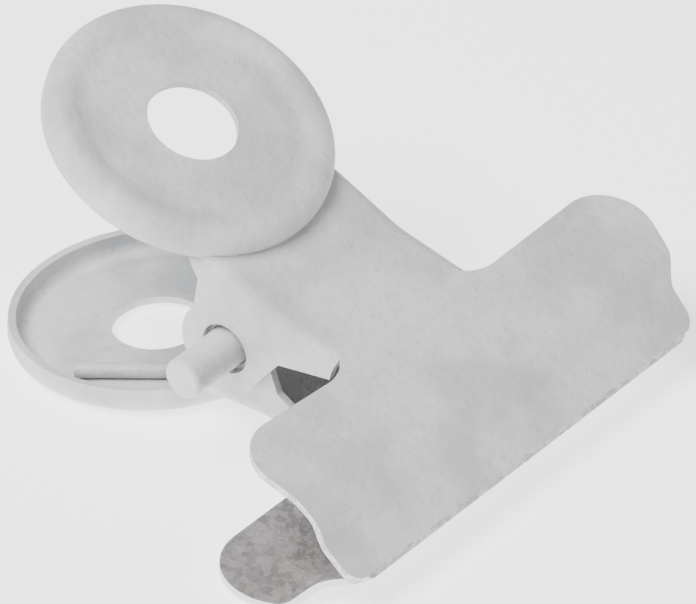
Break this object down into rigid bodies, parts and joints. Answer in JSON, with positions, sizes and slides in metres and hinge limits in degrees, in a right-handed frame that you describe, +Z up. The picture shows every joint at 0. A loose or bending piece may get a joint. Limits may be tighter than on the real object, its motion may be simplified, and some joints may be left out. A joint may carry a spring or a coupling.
{
  "type": "hinged spring clip",
  "caption": "Small hinged spring clip: two pressed steel blades with round dished finger pads, wide creased jaws, a cross pin and a coil spring holding the jaws shut.",
  "frame": {"origin": "middle of the footprint, on the bench the clip rests on", "axes": "+X along the hinge pin, +Y out of the jaws, +Z up; the clip lies on its lower blade, jaws shut"},
  "size_m": [0.036, 0.0366, 0.0201],
  "materials": {
    "painted_sheet": "matt off-white spray paint on pressed sheet steel, inside of the jaws left bare",
    "painted_sheet_lower": "matt off-white spray paint outside, bare mottled zinc inside the jaws",
    "painted_rod": "matt off-white spray paint on steel rod",
    "spring_wire": "spring steel wire, overspray of the same paint"
  },
  "bodies": {
    "lower": {"lower_blade": "painted_sheet_lower", "torsion_spring": "spring_wire"},
    "upper": {"upper_blade": "painted_sheet"},
    "pin": {"hinge_pin": "painted_rod"}
  },
  "joints": [
    {"name": "jaw_hinge", "type": "hinge", "parent": "lower", "child": "upper", "pos_m": [0, 0.00074, 0.00636], "axis": [1, 0, 0], "range_deg": [0, 48], "stiffness_Nm_per_rad": 0.14, "springref_deg": -32.66, "deforming": ["torsion_spring"]},
    {"name": "pin_spin", "type": "hinge", "parent": "lower", "child": "pin", "pos_m": [0, 0.00074, 0.00636], "axis": [1, 0, 0], "continuous": true}
  ]
}
